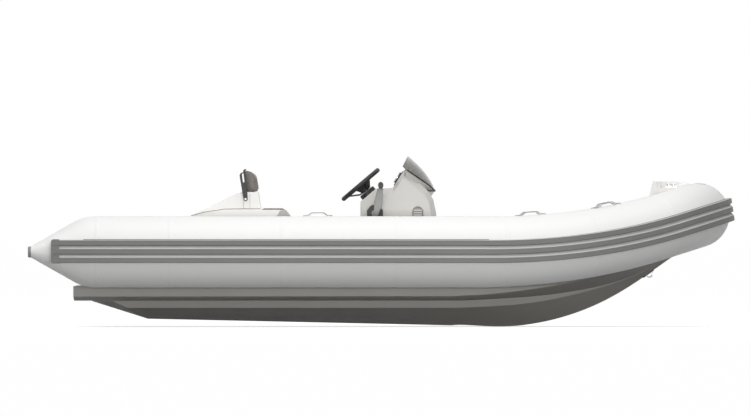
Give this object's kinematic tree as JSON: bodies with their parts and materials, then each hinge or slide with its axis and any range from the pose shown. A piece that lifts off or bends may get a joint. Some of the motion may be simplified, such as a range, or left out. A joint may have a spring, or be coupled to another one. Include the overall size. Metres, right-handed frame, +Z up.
{
  "type": "rigid-hulled inflatable boat with console and stern seat",
  "caption": "Open rigid-hulled inflatable boat: V hull, white collar with ribbed rubbing strake, steering console with smoked screen, stern seat with folding backrest.",
  "frame": {"origin": "centre plane, amidships, on the still waterline of the empty boat", "axes": "+X to the bow, +Y to port, +Z up"},
  "size_m": [5.0671, 2.244, 1.2263],
  "materials": {
    "gelcoat_taupe": "taupe grey gelcoat",
    "tube_fabric": "white coated tube fabric, satin",
    "rubber_grey": "grey moulded rubber",
    "strake_rubber": "grey extruded rubber",
    "gelcoat_white": "white gelcoat",
    "stainless": "polished marine steel",
    "black_plastic": "black moulded plastic",
    "handle_rubber": "white moulded rubber",
    "valve_plastic": "grey valve plastic",
    "smoked_screen": "smoked acrylic",
    "wheel_rubber": "black moulded grip",
    "lever_grey": "grey cast lever",
    "vent_plastic": "grey vent plastic",
    "seat_vinyl": "taupe grey marine vinyl"
  },
  "bodies": {
    "boat": {"hull": "gelcoat_taupe", "tube_collar": "tube_fabric", "cone_caps": "rubber_grey", "rub_strake": "strake_rubber", "strake_ends": "strake_rubber", "transom_board": "gelcoat_white", "cockpit_floor": "gelcoat_white", "foredeck": "gelcoat_white", "bow_step": "gelcoat_white", "stern_eyes": "stainless", "drain_plug": "black_plastic", "bow_eye": "stainless", "bow_cleats": "stainless", "roller_frame": "stainless", "tube_handles": "handle_rubber", "tube_valves": "valve_plastic", "console_body": "gelcoat_white", "instrument_panel": "black_plastic", "gauges": "black_plastic", "windscreen": "smoked_screen", "screen_brackets": "black_plastic", "helm_base": "black_plastic", "throttle_box": "black_plastic", "throttle_lever": "lever_grey", "throttle_grip": "black_plastic", "side_vent": "vent_plastic", "seat_base": "gelcoat_white", "seat_cushion": "seat_vinyl", "seat_cheeks": "gelcoat_white"},
    "helm": {"wheel_hub": "black_plastic", "wheel_rim": "wheel_rubber", "wheel_spokes": "black_plastic"},
    "backrest": {"backrest_arms": "black_plastic", "backrest_pad": "seat_vinyl", "backrest_shell": "black_plastic"},
    "seat_locker_door": {"seat_door": "gelcoat_white"},
    "console_access_door": {"console_door": "gelcoat_white"},
    "bow_lid": {"bow_locker_lid": "gelcoat_white"},
    "roller": {"anchor_roller": "black_plastic"}
  },
  "joints": [
    {"name": "steering_wheel_turn", "type": "hinge", "parent": "boat", "child": "helm", "pos_m": [-0.09273, 0, 0.73173], "axis": [-0.6463, 0, 0.7631], "range_deg": [-540, 540]},
    {"name": "backrest_fold", "type": "hinge", "parent": "boat", "child": "backrest", "pos_m": [-0.979, 0, 0.698], "axis": [0, -1, 0], "range_deg": [0, 60]},
    {"name": "seat_door_open", "type": "hinge", "parent": "boat", "child": "seat_locker_door", "pos_m": [-0.62231, 0.211, 0.22], "axis": [-0.0462, 0, 0.9989], "range_deg": [0, 110]},
    {"name": "console_door_open", "type": "hinge", "parent": "boat", "child": "console_access_door", "pos_m": [0.44013, 0.171, 0.2], "axis": [-0.0888, 0, 0.9961], "range_deg": [0, 110]},
    {"name": "bow_lid_open", "type": "hinge", "parent": "boat", "child": "bow_lid", "pos_m": [1.776, 0, 0.45], "axis": [0, 1, 0], "range_deg": [0, 95]},
    {"name": "anchor_roller_spin", "type": "hinge", "parent": "boat", "child": "roller", "pos_m": [2.11, 0, 0.804], "axis": [0, 1, 0], "continuous": true}
  ]
}
